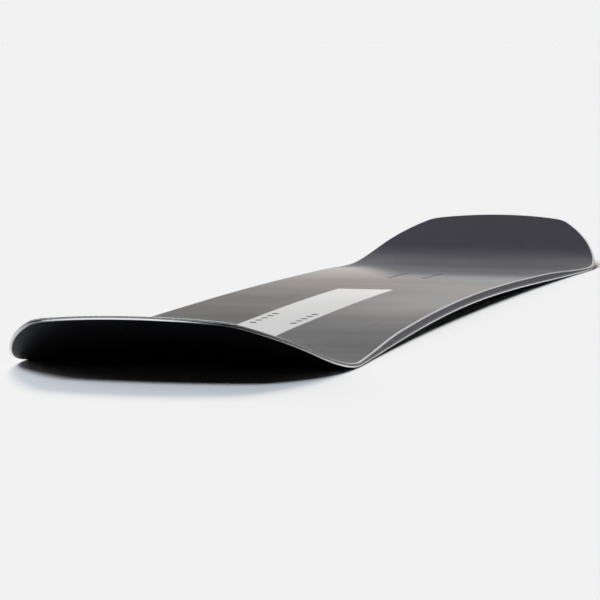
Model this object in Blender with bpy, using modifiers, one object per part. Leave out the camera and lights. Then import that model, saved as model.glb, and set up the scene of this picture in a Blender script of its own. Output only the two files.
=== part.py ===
"""Bare twin-tip snowboard: a wood core sandwich with steel edges and threaded inserts.

Frame: +X runs from the nose to the tail, +Y to the toe side, +Z up from the snow.
The origin is under the middle of the board, on the plane that its contact lines rest on.

Every layer is drawn flat, as it lies on the bench: x is the distance along the base, y the
distance from the centreline and z the height above the base. One mould then presses all
layers to the camber and the kicks, so they stay parallel. The inserts' holes and the slots
between the edges' teeth are cut after that, square to the pressed board.
"""
import math
from bisect import bisect_right

import bmesh
import bpy
from mathutils import Matrix, Vector

# Plan shape, measured along the base
CONTACT_LENGTH = 1.150
TIP_LENGTH = 0.200
WAIST_WIDTH = 0.260
TIP_WIDTH = 0.303
SHOULDER_RADIUS = 0.265
SHOULDER_TURN = math.radians(38.5)
CORNER_RADIUS = 0.036
END_RADIUS = 0.270

# Side shape
CAMBER_HEIGHT = 0.0075
KICK_ANGLE = math.radians(21.0)
KICK_BLEND = 0.100

# Layers, from the snow up
BASE_THICKNESS = 0.0010
TANG_THICKNESS = 0.0004
FOIL_THICKNESS = 0.0002
LAMINATE_THICKNESS = 0.0003
CORE_THICKNESS = 0.0058
TIP_RIM_THICKNESS = 0.0003
TOPSHEET_THICKNESS = 0.0004
GLUE_LINE = 0.00015
TAPER_PAST_INSERTS = 0.040
TAPER_PAST_CONTACT = 0.025

# Rim: steel edge, rubber foil, sidewall and the bevel over it
EDGE_WIDTH = 0.0020
TANG_WIDTH = 0.0055
TOOTH_PITCH = 0.048
SLOT_LENGTH = 0.012
TOOTH_ROOT = 0.0012
EDGE_JOINT_TURN = math.radians(29.6)
EDGE_JOINT_GAP = 0.0004
FOIL_MARGIN = 0.0020
LAMINATE_RAMP = 0.0020
SIDEWALL_MARGIN = 0.0010
RIM_SETBACK = 0.0003
SIDEWALL_LEAN = math.radians(12.0)
TOP_BEVEL = math.radians(55.0)

# Wood core
STRINGER_COUNT = 11
CORE_PAST_CONTACT = 0.090

# Threaded inserts, two rows at each foot
STANCE = 0.560
ROW_SPACING = 0.040
HOLE_PITCH = 0.020
HOLES_PER_ROW = 5
BARREL_DIAMETER = 0.009
FLANGE_DIAMETER = 0.014
FLANGE_THICKNESS = 0.0010
THREAD_DIAMETER = 0.0050
THREAD_DEPTH = 0.0050
TOPSHEET_HOLE = 0.0070
CLEARANCE = 0.0003

# Facets
CAMBER_FACETS = 6
KICK_FACETS = 7
SHOULDER_FACETS = 2
CORNER_FACETS = 4
END_FACETS = 3
ROUND_FACETS = 10
SMOOTH_ANGLE = math.radians(30.0)
SNAP = 0.00001
CUT_PAST = 0.0010

# Lengths from the middle of the board
HALF_CONTACT = CONTACT_LENGTH / 2
HALF_LENGTH = HALF_CONTACT + TIP_LENGTH
KICK_END = HALF_CONTACT + KICK_BLEND
CORE_END = HALF_CONTACT + CORE_PAST_CONTACT
TAPER_START = STANCE / 2 + (HOLES_PER_ROW - 1) / 2 * HOLE_PITCH + TAPER_PAST_INSERTS
TAPER_END = HALF_CONTACT + TAPER_PAST_CONTACT

# Heights above the base's underside
TANG_FLOOR = BASE_THICKNESS + GLUE_LINE
RAIL_TOP = TANG_FLOOR + TANG_THICKNESS
FOIL_FLOOR = RAIL_TOP + GLUE_LINE
FOIL_TOP = FOIL_FLOOR + FOIL_THICKNESS
LAMINATE_RISE = FOIL_TOP + GLUE_LINE - TANG_FLOOR
CORE_FLOOR = TANG_FLOOR + LAMINATE_THICKNESS + GLUE_LINE
RIM_FLOOR = CORE_FLOOR + LAMINATE_RISE
UPPER_LAMINATE_LIFT = GLUE_LINE
TOPSHEET_LIFT = UPPER_LAMINATE_LIFT + LAMINATE_THICKNESS + GLUE_LINE

# Distances in from the steel rim
TANG_REACH = EDGE_WIDTH + TANG_WIDTH
FOIL_REACH = TANG_REACH + FOIL_MARGIN
RAMP_REACH = FOIL_REACH + LAMINATE_RAMP
SIDEWALL_REACH = RAMP_REACH + SIDEWALL_MARGIN
CORE_REACH = SIDEWALL_REACH + GLUE_LINE


def outward(turn):
    """Outward normal of the rim where it has turned by this angle towards the tip."""
    return Vector((math.sin(turn), math.cos(turn)))


def rim_arcs():
    """Sidecut, shoulder, corner and end of one quarter of the rim, each tangent to the next.

    An arc is its centre, its radius (negative where the rim is hollow) and its last turn.
    """
    half_tip = TIP_WIDTH / 2
    shoulder_drop = SHOULDER_RADIUS * (1 - math.cos(SHOULDER_TURN))
    corner_rise = CORNER_RADIUS * math.cos(SHOULDER_TURN)
    corner_turn = math.acos((half_tip - shoulder_drop - corner_rise) / (END_RADIUS - CORNER_RADIUS))
    end_centre = Vector((HALF_LENGTH - END_RADIUS, 0.0))
    corner_centre = end_centre + (END_RADIUS - CORNER_RADIUS) * outward(corner_turn)
    shoulder_centre = corner_centre - (SHOULDER_RADIUS - CORNER_RADIUS) * outward(SHOULDER_TURN)
    widest = shoulder_centre.x
    sidecut_turn = 2 * math.atan((half_tip - WAIST_WIDTH / 2) / widest)
    sidecut_radius = widest / math.sin(sidecut_turn) - SHOULDER_RADIUS
    sidecut_centre = Vector((0.0, WAIST_WIDTH / 2 + sidecut_radius))
    return (
        (sidecut_centre, -sidecut_radius, -sidecut_turn),
        (shoulder_centre, SHOULDER_RADIUS, SHOULDER_TURN),
        (corner_centre, CORNER_RADIUS, corner_turn),
        (end_centre, END_RADIUS, math.pi / 2),
    )


ARCS = rim_arcs()


def half_width(along, inset):
    """Distance from the centreline to the rim, moved in by the inset."""
    for centre, radius, last_turn in ARCS:
        reach = radius - inset
        if along <= centre.x + reach * math.sin(last_turn):
            return centre.y + math.copysign(math.sqrt(reach ** 2 - (along - centre.x) ** 2), reach)
    return 0.0


def stations():
    """Facet lines across the board, from the middle to the end of a kick."""
    camber = [HALF_CONTACT * (2 * k + 1) / (2 * CAMBER_FACETS + 1) for k in range(CAMBER_FACETS + 1)]
    kick = [HALF_CONTACT + KICK_BLEND * (k + 1) / KICK_FACETS for k in range(KICK_FACETS)]
    return camber + kick


STATIONS = stations()
BOTH_STATIONS = [-along for along in reversed(STATIONS)] + STATIONS


def heading(along):
    """Slope angle of the base, at a distance from the middle."""
    share = min(along / HALF_CONTACT, 1.0)
    camber_slope = -4 * CAMBER_HEIGHT * share * (1 - share ** 2) / HALF_CONTACT
    kick_share = min(max((along - HALF_CONTACT) / KICK_BLEND, 0.0), 1.0)
    return math.atan(camber_slope) + KICK_ANGLE * kick_share


def mould():
    """Facet lines of the mould: distance along the base, x, z, sine and cosine of the slope."""
    lines = []
    x = 0.0
    z = 0.0
    last = 0.0
    steps = 40
    for along in STATIONS + [HALF_LENGTH]:
        length = (along - last) / steps
        for k in range(steps):
            angle = heading(last + (k + 0.5) * length)
            x += length * math.cos(angle)
            z += length * math.sin(angle)
        angle = heading(along)
        lines.append((along, x, z, math.sin(angle), math.cos(angle)))
        last = along
    lowest = min(line[2] for line in lines)
    tail = [(s, x, z - lowest, sine, cosine) for s, x, z, sine, cosine in lines]
    nose = [(-s, -x, z, -sine, cosine) for s, x, z, sine, cosine in reversed(tail)]
    return nose + tail


MOULD = mould()
MOULD_LINES = [line[0] for line in MOULD]


def mould_at(along):
    """The mould's x, z, sine and cosine, straight between its facet lines."""
    k = min(max(bisect_right(MOULD_LINES, along) - 1, 0), len(MOULD) - 2)
    share = (along - MOULD_LINES[k]) / (MOULD_LINES[k + 1] - MOULD_LINES[k])
    return [a + (b - a) * share for a, b in zip(MOULD[k][1:], MOULD[k + 1][1:])]


def pressed(along, across, height):
    """Where a point of the flat lay-up ends up in the pressed board."""
    x, z, sine, cosine = mould_at(along)
    return Vector((x - height * sine, across, z + height * cosine))


def seat(along, across, height):
    """Place and tilt of a rigid piece that stands square on the pressed board."""
    sine, cosine = mould_at(along)[2:]
    tilt = Matrix.Rotation(-math.atan2(sine, cosine), 4, "Y")
    return Matrix.Translation(pressed(along, across, height)) @ tilt


def core_top(along):
    """Height of the core's upper face, which tapers from past the inserts to the tips."""
    left = (TAPER_END - abs(along)) / (TAPER_END - TAPER_START)
    taper = min(max(left, 0.0), 1.0)
    smooth = taper ** 2 * (3 - 2 * taper)
    tip_height = RIM_FLOOR + TIP_RIM_THICKNESS
    return tip_height + (CORE_FLOOR + CORE_THICKNESS - tip_height) * smooth


def above_core(lift):
    return lambda along: core_top(along) + lift


def bevelled(lift):
    """Inset of the outer face over the core's upper face, where sidewall and bevel lean in."""
    def inset(along):
        lean = (core_top(along) - RIM_FLOOR) * math.tan(SIDEWALL_LEAN)
        return RIM_SETBACK + lean + lift * math.tan(TOP_BEVEL)
    return inset


def value_at(value, along):
    return value(along) if callable(value) else value


def rim_quarter(inset):
    """Points of one quarter of the rim, from near the waist to the end of the tip.

    The shoulder has its facets on either side of the place where the edge's joint can lie.
    """
    points = [Vector((s, half_width(s, value_at(inset, s)))) for s in STATIONS]
    depth = value_at(inset, KICK_END)
    shoulder, corner, end = ARCS[1:]
    turn = math.asin((KICK_END - shoulder[0].x) / (shoulder[1] - depth))
    stretches = (
        (shoulder, EDGE_JOINT_TURN, SHOULDER_FACETS),
        (shoulder, SHOULDER_TURN, SHOULDER_FACETS),
        (corner, corner[2], CORNER_FACETS),
        (end, end[2], END_FACETS),
    )
    for (centre, radius, _), last_turn, count in stretches:
        step = (last_turn - turn) / count
        for k in range(count):
            points.append(centre + (radius - depth) * outward(turn + (k + 1) * step))
        turn = last_turn
    points[-1].y = 0.0
    return points


def rim_loop(inset):
    """The whole rim as a closed loop of points, moved in by the inset."""
    quarter = rim_quarter(inset)
    tail = quarter + [Vector((p.x, -p.y)) for p in reversed(quarter[:-1])]
    return tail + [-p for p in tail]


def edge_run(inset):
    """Rim points of the heel side's length of edge, which goes round the tail, joint to joint."""
    loop = rim_loop(inset)
    first = len(STATIONS) + SHOULDER_FACETS - 1
    run = loop[first:first + len(loop) // 2 + 1]
    run[0] = run[0] + (run[1] - run[0]).normalized() * EDGE_JOINT_GAP / 2
    run[-1] = run[-1] + (run[-2] - run[-1]).normalized() * EDGE_JOINT_GAP / 2
    return run


def skin(rows, closed_section, closed_path):
    """Faces over rows of points, with caps where the section or the path is open.

    The faces are split at the facet lines at once, so that a saw only meets convex ones.
    """
    bm = bmesh.new()
    rows = [[bm.verts.new(point) for point in row] for row in rows]
    next_rows = rows[1:] + rows[:1] if closed_section else rows[1:]
    for row, next_row in zip(rows, next_rows):
        for k in range(0 if closed_path else 1, len(row)):
            bm.faces.new((row[k - 1], row[k], next_row[k], next_row[k - 1]))
    if not closed_section:
        bm.faces.new(rows[0])
        bm.faces.new(rows[-1])
    if not closed_path:
        bm.faces.new([row[0] for row in rows])
        bm.faces.new([row[-1] for row in rows])
    facet(bm)
    return bm


def row_of(points, height):
    return [(p.x, p.y, value_at(height, p.x)) for p in points]


def plate(levels):
    """Plate over the whole plan, as rim loops from its lower to its upper face."""
    return skin([row_of(rim_loop(inset), height) for inset, height in levels], False, True)


def ring(section):
    """Strip round the whole rim, with this section of insets and heights."""
    return skin([row_of(rim_loop(inset), height) for inset, height in section], True, True)


def edge_lengths(section):
    """The heel and the toe side's length of a strip, which are half a turn apart."""
    heel = [row_of(edge_run(inset), height) for inset, height in section]
    toe = [[(-x, -y, z) for x, y, z in row] for row in heel]
    return (("heel", skin(heel, True, False)), ("toe", skin(toe, True, False)))


def all_geometry(bm):
    return bm.verts[:] + bm.edges[:] + bm.faces[:]


def facet(bm):
    """Splits the faces at the mould's facet lines."""
    for along in BOTH_STATIONS:
        bmesh.ops.bisect_plane(
            bm, geom=all_geometry(bm), dist=SNAP, plane_co=(along, 0, 0), plane_no=(1, 0, 0))


def saw(bm, point, normal):
    """Cuts off what lies on the normal's side of a plane, and closes the cut."""
    cut = bmesh.ops.bisect_plane(
        bm, geom=all_geometry(bm), dist=SNAP, plane_co=point, plane_no=normal, clear_outer=True)
    edges = [item for item in cut["geom_cut"] if isinstance(item, bmesh.types.BMEdge)]
    bmesh.ops.edgeloop_fill(bm, edges=edges)


def new_object(name, mesh, material, collection):
    obj = bpy.data.objects.new(name, mesh)
    if material:
        mesh.materials.clear()
        mesh.materials.append(material)
    collection.objects.link(obj)
    return obj


def press(name, bm, material, collection):
    """Facets, presses and names one layer."""
    facet(bm)
    for vert in bm.verts:
        vert.co = pressed(*vert.co)
    bmesh.ops.recalc_face_normals(bm, faces=bm.faces)
    mesh = bpy.data.meshes.new(name)
    bm.to_mesh(mesh)
    bm.free()
    mesh.shade_smooth()
    mesh.set_sharp_from_angle(angle=SMOOTH_ANGLE)
    return new_object(name, mesh, material, collection)


def cut_with(obj, cutter):
    modifier = obj.modifiers.new(cutter.name, "BOOLEAN")
    modifier.operation = "DIFFERENCE"
    modifier.solver = "EXACT"
    modifier.object = cutter


def cutter_object(name, bm, collection):
    mesh = bpy.data.meshes.new(name)
    bm.to_mesh(mesh)
    bm.free()
    cutter = new_object(name, mesh, None, collection)
    cutter.hide_render = True
    cutter.display_type = "WIRE"
    return cutter


def insert_places():
    """Name, distance along the base and distance from the centreline of each insert."""
    places = []
    for foot, foot_side in (("front", -1), ("rear", 1)):
        for row, row_side in (("heel", -1), ("toe", 1)):
            for k in range(HOLES_PER_ROW):
                along = foot_side * STANCE / 2 + (k - (HOLES_PER_ROW - 1) / 2) * HOLE_PITCH
                name = f"insert_{foot}_{row}_{k + 1}"
                places.append((name, along, row_side * ROW_SPACING / 2))
    return places


def drill(name, radius, bottom, top, collection):
    """One upright cylinder at each insert, from one height above the base to another.

    A cone's facets start at +Y and a turned insert's at +X, so the cylinder is turned to match.
    """
    quarter_turn = Matrix.Rotation(-math.pi / 2, 4, "Z")
    bm = bmesh.new()
    for _, along, across in insert_places():
        middle = seat(along, across, (bottom + top) / 2)
        bmesh.ops.create_cone(
            bm, cap_ends=True, segments=ROUND_FACETS, radius1=radius, radius2=radius,
            depth=top - bottom, matrix=middle @ quarter_turn)
    return cutter_object(name, bm, collection)


def slot_cutter(collection):
    """Boxes that part the teeth of the steel edges, spaced evenly round the rim."""
    loop = rim_loop(EDGE_WIDTH)
    lengths = [(loop[k] - loop[k - 1]).length for k in range(len(loop))]
    count = round(sum(lengths) / TOOTH_PITCH)
    pitch = sum(lengths) / count
    depth = TANG_WIDTH - TOOTH_ROOT + CUT_PAST
    height = TANG_THICKNESS + 2 * CUT_PAST
    bm = bmesh.new()
    travelled = 0.0
    next_slot = pitch / 2
    for k, length in enumerate(lengths):
        direction = (loop[k] - loop[k - 1]) / length
        inward = Vector((direction.y, -direction.x))
        while next_slot <= travelled + length:
            point = loop[k - 1] + direction * (next_slot - travelled)
            point += inward * (TOOTH_ROOT + depth / 2)
            turn = Matrix.Rotation(math.atan2(direction.y, direction.x), 4, "Z")
            size = Matrix.Diagonal((SLOT_LENGTH, depth, height, 1.0))
            place = seat(point.x, point.y, TANG_FLOOR + TANG_THICKNESS / 2)
            bmesh.ops.create_cube(bm, size=1.0, matrix=place @ turn @ size)
            next_slot += pitch
        travelled += length
    return cutter_object("tooth_slots", bm, collection)


def material(name, colour, roughness, metallic=0.0):
    mat = bpy.data.materials.new(name)
    mat.use_nodes = True
    shader = mat.node_tree.nodes["Principled BSDF"]
    shader.inputs["Base Color"].default_value = (*colour, 1.0)
    shader.inputs["Roughness"].default_value = roughness
    shader.inputs["Metallic"].default_value = metallic
    mat.diffuse_color = (*colour, 1.0)
    return mat


def make_materials():
    return {
        "base": material("black_sintered_base", (0.012, 0.012, 0.014), 0.35),
        "steel": material("edge_steel", (0.72, 0.73, 0.75), 0.25, 1.0),
        "rubber": material("rubber_foil", (0.05, 0.05, 0.05), 0.8),
        "glass": material("glass_laminate", (0.70, 0.72, 0.58), 0.4),
        "poplar": material("poplar", (0.78, 0.63, 0.42), 0.6),
        "beech": material("beech", (0.55, 0.36, 0.21), 0.6),
        "sidewall": material("dark_sidewall", (0.11, 0.11, 0.12), 0.45),
        "spacer": material("tip_spacer", (0.06, 0.06, 0.065), 0.5),
        "topsheet": material("satin_grey_topsheet", (0.26, 0.25, 0.245), 0.28, 0.5),
        "stainless": material("stainless_insert", (0.62, 0.62, 0.63), 0.3, 1.0),
    }


def make_base(mats, parts):
    inset = EDGE_WIDTH + GLUE_LINE
    press("base_sheet", plate([(inset, 0.0), (inset, BASE_THICKNESS)]), mats["base"], parts)


def make_edges(mats, parts, slots):
    """Steel rails with a toothed tang, which the laminate grips, in two lengths round the rim."""
    section = [
        (0.0, 0.0),
        (0.0, RAIL_TOP),
        (TANG_REACH, RAIL_TOP),
        (TANG_REACH, TANG_FLOOR),
        (EDGE_WIDTH, TANG_FLOOR),
        (EDGE_WIDTH, 0.0),
    ]
    for side, half in edge_lengths(section):
        edge = press(f"steel_edge_{side}", half, mats["steel"], parts)
        cut_with(edge, slots)


def make_foils(mats, parts):
    """Rubber foil that damps each steel edge under the laminate."""
    section = [
        (RIM_SETBACK, FOIL_FLOOR),
        (RIM_SETBACK, FOIL_TOP),
        (FOIL_REACH, FOIL_TOP),
        (FOIL_REACH, FOIL_FLOOR),
    ]
    for side, half in edge_lengths(section):
        press(f"rubber_foil_{side}", half, mats["rubber"], parts)


def make_lower_laminate(mats, parts):
    """Glass laminate that lies on the base and ramps up over the foil at the rim."""
    low = TANG_FLOOR
    high = TANG_FLOOR + LAMINATE_RISE
    levels = [
        (RAMP_REACH, low),
        (FOIL_REACH, high),
        (RIM_SETBACK, high),
        (RIM_SETBACK, high + LAMINATE_THICKNESS),
        (FOIL_REACH, high + LAMINATE_THICKNESS),
        (RAMP_REACH, low + LAMINATE_THICKNESS),
    ]
    press("lower_laminate", plate(levels), mats["glass"], parts)


def make_sidewalls(mats, parts):
    """Sidewall strips between the tip spacers, leaning in and stepped over the laminate."""
    section = [
        (RIM_SETBACK, RIM_FLOOR),
        (FOIL_REACH, RIM_FLOOR),
        (RAMP_REACH, CORE_FLOOR),
        (SIDEWALL_REACH, CORE_FLOOR),
        (SIDEWALL_REACH, above_core(0.0)),
        (bevelled(0.0), above_core(0.0)),
    ]
    strips = ring(section)
    end = CORE_END - GLUE_LINE / 2
    saw(strips, (end, 0, 0), (1, 0, 0))
    saw(strips, (-end, 0, 0), (-1, 0, 0))
    for side, normal in (("heel", (0, 1, 0)), ("toe", (0, -1, 0))):
        strip = strips.copy()
        saw(strip, (0, 0, 0), normal)
        press(f"sidewall_{side}", strip, mats["sidewall"], parts)
    strips.free()


def make_spacers(mats, parts):
    """Moulded tip spacers that carry on the core and the sidewalls to the rim."""
    levels = [
        (RAMP_REACH, CORE_FLOOR),
        (FOIL_REACH, RIM_FLOOR),
        (RIM_SETBACK, RIM_FLOOR),
        (bevelled(0.0), above_core(0.0)),
    ]
    whole = plate(levels)
    for name, side in (("nose_spacer", -1), ("tail_spacer", 1)):
        tip = whole.copy()
        saw(tip, (side * (CORE_END + GLUE_LINE / 2), 0, 0), (-side, 0, 0))
        press(name, tip, mats["spacer"], parts)
    whole.free()


def make_core(mats, parts, barrel_drill, flange_drill):
    """Upright wood stringers that share the waist evenly, drilled where they hold inserts."""
    plank = plate([(CORE_REACH, CORE_FLOOR), (CORE_REACH, above_core(0.0))])
    end = CORE_END - GLUE_LINE / 2
    saw(plank, (end, 0, 0), (1, 0, 0))
    saw(plank, (-end, 0, 0), (-1, 0, 0))
    waist_half = half_width(0.0, CORE_REACH)
    width = 2 * waist_half / STRINGER_COUNT
    seat_half = FLANGE_DIAMETER / 2 + CLEARANCE
    rows = (-ROW_SPACING / 2, ROW_SPACING / 2)
    for k in range(STRINGER_COUNT):
        low = k * width - waist_half + GLUE_LINE / 2
        high = low + width - GLUE_LINE
        stringer = plank.copy()
        if k < STRINGER_COUNT - 1:
            saw(stringer, (0, high, 0), (0, 1, 0))
        if k > 0:
            saw(stringer, (0, low, 0), (0, -1, 0))
        wood = mats["poplar"] if k % 2 == 0 else mats["beech"]
        obj = press(f"core_stringer_{k + 1:02d}", stringer, wood, parts)
        if any(low < row + seat_half and high > row - seat_half for row in rows):
            cut_with(obj, barrel_drill)
            cut_with(obj, flange_drill)
    plank.free()


def make_upper_laminate(mats, parts, barrel_drill):
    bottom = UPPER_LAMINATE_LIFT
    top = bottom + LAMINATE_THICKNESS
    levels = [(bevelled(bottom), above_core(bottom)), (bevelled(top), above_core(top))]
    obj = press("upper_laminate", plate(levels), mats["glass"], parts)
    cut_with(obj, barrel_drill)


def make_topsheet(mats, parts, topsheet_drill):
    bottom = TOPSHEET_LIFT
    top = bottom + TOPSHEET_THICKNESS
    levels = [(bevelled(bottom), above_core(bottom)), (bevelled(top), above_core(top))]
    obj = press("topsheet", plate(levels), mats["topsheet"], parts)
    cut_with(obj, topsheet_drill)


def make_inserts(mats, parts):
    """Blind threaded inserts: a flange under the core and a barrel up to the topsheet."""
    height = CORE_THICKNESS + UPPER_LAMINATE_LIFT + LAMINATE_THICKNESS
    thread = THREAD_DIAMETER / 2
    barrel = BARREL_DIAMETER / 2
    flange = FLANGE_DIAMETER / 2
    profile = [
        (0.0, height - THREAD_DEPTH),
        (thread, height - THREAD_DEPTH),
        (thread, height),
        (barrel, height),
        (barrel, FLANGE_THICKNESS),
        (flange, FLANGE_THICKNESS),
        (flange, 0.0),
        (0.0, 0.0),
    ]
    mesh = bpy.data.meshes.new("threaded_insert")
    edges = [(k, k + 1) for k in range(len(profile) - 1)]
    mesh.from_pydata([(radius, 0.0, z) for radius, z in profile], edges, [])
    for name, along, across in insert_places():
        insert = new_object(name, mesh, mats["stainless"], parts)
        insert.matrix_world = seat(along, across, CORE_FLOOR)
        turn = insert.modifiers.new("turned", "SCREW")
        turn.steps = ROUND_FACETS
        turn.render_steps = ROUND_FACETS
        turn.use_merge_vertices = True
        turn.merge_threshold = SNAP
        turn.use_smooth_shade = False


def new_collection(name):
    collection = bpy.data.collections.new(name)
    bpy.context.scene.collection.children.link(collection)
    return collection


def main():
    for obj in list(bpy.data.objects):
        bpy.data.objects.remove(obj)
    parts = new_collection("snowboard")
    cutters = new_collection("cutters")
    mats = make_materials()

    topsheet_floor = CORE_FLOOR + CORE_THICKNESS + TOPSHEET_LIFT
    barrel_radius = BARREL_DIAMETER / 2 + CLEARANCE
    flange_radius = FLANGE_DIAMETER / 2 + CLEARANCE
    flange_top = CORE_FLOOR + FLANGE_THICKNESS + CLEARANCE
    barrel_drill = drill("barrel_drill", barrel_radius, CORE_FLOOR - CUT_PAST, topsheet_floor, cutters)
    flange_drill = drill("flange_drill", flange_radius, CORE_FLOOR - CUT_PAST, flange_top, cutters)
    topsheet_drill = drill(
        "topsheet_drill", TOPSHEET_HOLE / 2, topsheet_floor - CUT_PAST,
        topsheet_floor + TOPSHEET_THICKNESS + CUT_PAST, cutters)

    make_base(mats, parts)
    make_edges(mats, parts, slot_cutter(cutters))
    make_foils(mats, parts)
    make_lower_laminate(mats, parts)
    make_sidewalls(mats, parts)
    make_spacers(mats, parts)
    make_core(mats, parts, barrel_drill, flange_drill)
    make_upper_laminate(mats, parts, barrel_drill)
    make_topsheet(mats, parts, topsheet_drill)
    make_inserts(mats, parts)


main()
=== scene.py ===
"""Looks of a bare twin-tip snowboard, laid up flat and pressed like the real one.

Flat, x is the distance along the base from the middle of the board, y the distance from the
centreline and z the height above the base. Strips are swept round the rim, plates are filled
inside their rims, and one smooth mould presses both to the camber and the kicks.
"""
import math
from bisect import bisect_right

import bmesh
import bpy
from bmesh.types import BMEdge, BMVert
from mathutils import Matrix, Vector


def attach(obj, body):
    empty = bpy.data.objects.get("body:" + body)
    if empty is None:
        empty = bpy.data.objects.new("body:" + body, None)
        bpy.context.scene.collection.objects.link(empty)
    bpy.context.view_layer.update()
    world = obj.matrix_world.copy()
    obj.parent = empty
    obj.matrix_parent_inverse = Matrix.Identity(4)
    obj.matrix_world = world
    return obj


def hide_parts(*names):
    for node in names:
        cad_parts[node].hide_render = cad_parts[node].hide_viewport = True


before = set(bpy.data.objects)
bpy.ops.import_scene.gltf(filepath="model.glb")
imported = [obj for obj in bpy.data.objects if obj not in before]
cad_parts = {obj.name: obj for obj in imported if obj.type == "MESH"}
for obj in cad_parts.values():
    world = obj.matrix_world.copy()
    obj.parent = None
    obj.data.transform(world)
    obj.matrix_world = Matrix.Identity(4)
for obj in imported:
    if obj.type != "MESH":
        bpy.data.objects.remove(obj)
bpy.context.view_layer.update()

# Plan and side shape, as the solids have them
CONTACT_LENGTH = 1.150
TIP_LENGTH = 0.200
WAIST_WIDTH = 0.260
TIP_WIDTH = 0.303
SHOULDER_RADIUS = 0.265
SHOULDER_TURN = math.radians(38.5)
CORNER_RADIUS = 0.036
END_RADIUS = 0.270
CAMBER_HEIGHT = 0.0075
KICK_ANGLE = math.radians(21.0)
KICK_BLEND = 0.100

# Layers, from the snow up
BASE_THICKNESS = 0.0010
TANG_THICKNESS = 0.0004
FOIL_THICKNESS = 0.0002
LAMINATE_THICKNESS = 0.0003
CORE_THICKNESS = 0.0058
TIP_RIM_THICKNESS = 0.0003
TOPSHEET_THICKNESS = 0.0004
GLUE_LINE = 0.00015
TAPER_START = 0.360
TAPER_END = 0.600

# Rim
EDGE_WIDTH = 0.0020
TANG_WIDTH = 0.0055
TOOTH_PITCH = 0.048
SLOT_LENGTH = 0.012
TOOTH_ROOT = 0.0012
EDGE_JOINT_TURN = math.radians(29.6)
EDGE_JOINT_GAP = 0.0004
FOIL_MARGIN = 0.0020
LAMINATE_RAMP = 0.0020
SIDEWALL_MARGIN = 0.0010
RIM_SETBACK = 0.0003
SIDEWALL_LEAN = math.radians(12.0)
TOP_BEVEL = math.radians(55.0)
CORE_PAST_CONTACT = 0.090

# Threaded inserts, with half the widths of the thread's ridge in pitches
STANCE = 0.560
ROW_SPACING = 0.040
HOLE_PITCH = 0.020
HOLES_PER_ROW = 5
BARREL_DIAMETER = 0.009
FLANGE_DIAMETER = 0.014
FLANGE_THICKNESS = 0.0010
THREAD_DIAMETER = 0.0060
THREAD_CORE = 0.0050
THREAD_PITCH = 0.0010
THREAD_DEPTH = 0.0050
THREAD_BITE = 0.00003
RIDGE_ROOT = 0.45
RIDGE_CREST = 0.08
TOPSHEET_HOLE = 0.0070
BARREL_CLEARANCE = 0.0003

# Fine form that the solids leave out
RIM_GRIND = 0.00002
EDGE_SOFTENING = 0.00012
WALL_SOFTENING = 0.00015
TOP_SOFTENING = 0.00020
FLAT_BORDER = 0.0008
# Width of the pale ring beside the topsheet's bevel, a painted highlight that widens its bright line
PAINTED_HIGHLIGHT_RING = 0.0005
COUNTERSINK = 0.0004
CHAMFER = 0.0003

# Travel round the rim from the waist, up to where the steel is bright and from where it is painted
# darker, as a dimmer reflection round the tips
BRIGHT_REACH = 0.620
PAINTED_DIMMING_START = 0.760

# Light stripe down the front half of the topsheet
STRIPE_TOE = 0.0300
STRIPE_HEEL = -0.0310
STRIPE_TAIL_END = 0.0455
STRIPE_NOSE_END = -0.5600

# Painted sheen on the satin print: paler tones, a painted reflection of the studio glow, run between
# two lines across the board and pass from heel to toe, and past the middle they fade, as painted shade
# where the tail's reflection hides the glow, over a band that leans back on the toe side
SHEEN_START = -0.500
SHEEN_END = 0.500
HEEL_SHEEN_END = -0.095
TOE_SHEEN_START = 0.050
SHEEN_FADE_START = 0.225
SHEEN_FADE_END = 0.365
SLANT_START = 0.030
SLANT_END = 0.115
SLANT_LENGTH = 0.185

# Surface patterns, in repeats a metre along x, y and z, or along, into and up the rim
BRUSHING = (420.0, 6.0, 6.0)
SATIN_CLOUDS = (9.0, 4.0, 4.0)
STRIPE_CLOUDS = (6.0, 10.0, 4.0)
SCUFFS = (9.0, 620.0, 9.0)
SCUFF_TURN = math.radians(24.0)
SCUFF_DULLING = 0.12
KNIFE_MARKS = (30.0, 4000.0, 4000.0)
DRILL_RINGS = (500.0, 500.0, 9000.0)
STONE_GRIND = (9.0, 1500.0, 9.0)
BASE_CLOUDS = (12.0, 12.0, 12.0)
FILING = (60.0, 9000.0, 9000.0)
STEEL_HAZE = (18.0, 60.0, 60.0)
PLANING = (24.0, 900.0, 1800.0)
PLANER_CHATTER = (400.0, 60.0, 60.0)
PEBBLES = (1400.0, 1400.0, 1400.0)
RUBBER_GRAIN = (1800.0, 1800.0, 1800.0)
YEAR_RINGS = (1.6, 90.0, 90.0)
LATHE_RINGS = (300.0, 300.0, 6000.0)
FIBRES_ALONG = 22.0
YARNS = 60.0
YARN_WOBBLE = 0.6
YARN_FUZZ = 40.0

# Fineness of the meshes
SAGITTA = 0.000005
LONGEST_STEP = 0.006
CAMBER_LINES = 41
KICK_LINES = 40
MOULD_STEPS = 1600
HOLE_SEGMENTS = 40
THREAD_SEGMENTS = 32
ROUNDING_SEGMENTS = 2
SMOOTH_ANGLE = math.radians(28.0)
LEVEL_NORMAL = 0.99
SNAP = 0.000004
SEAM_MERGE = 0.00003

# Studio
FLOOR_HALF = 400.0
FLOOR_TONE = 0.80
BACKGROUND = 0.888
GLOW_START = 0.3
GLOW_FULL = 0.8
LAMP = Vector((-0.78, 0.40, 0.50)).normalized()
LAMP_CORE = math.radians(22.0)
LAMP_REACH = math.radians(36.0)
LAMP_COLOUR = (2.05, 2.08, 2.10)

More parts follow.
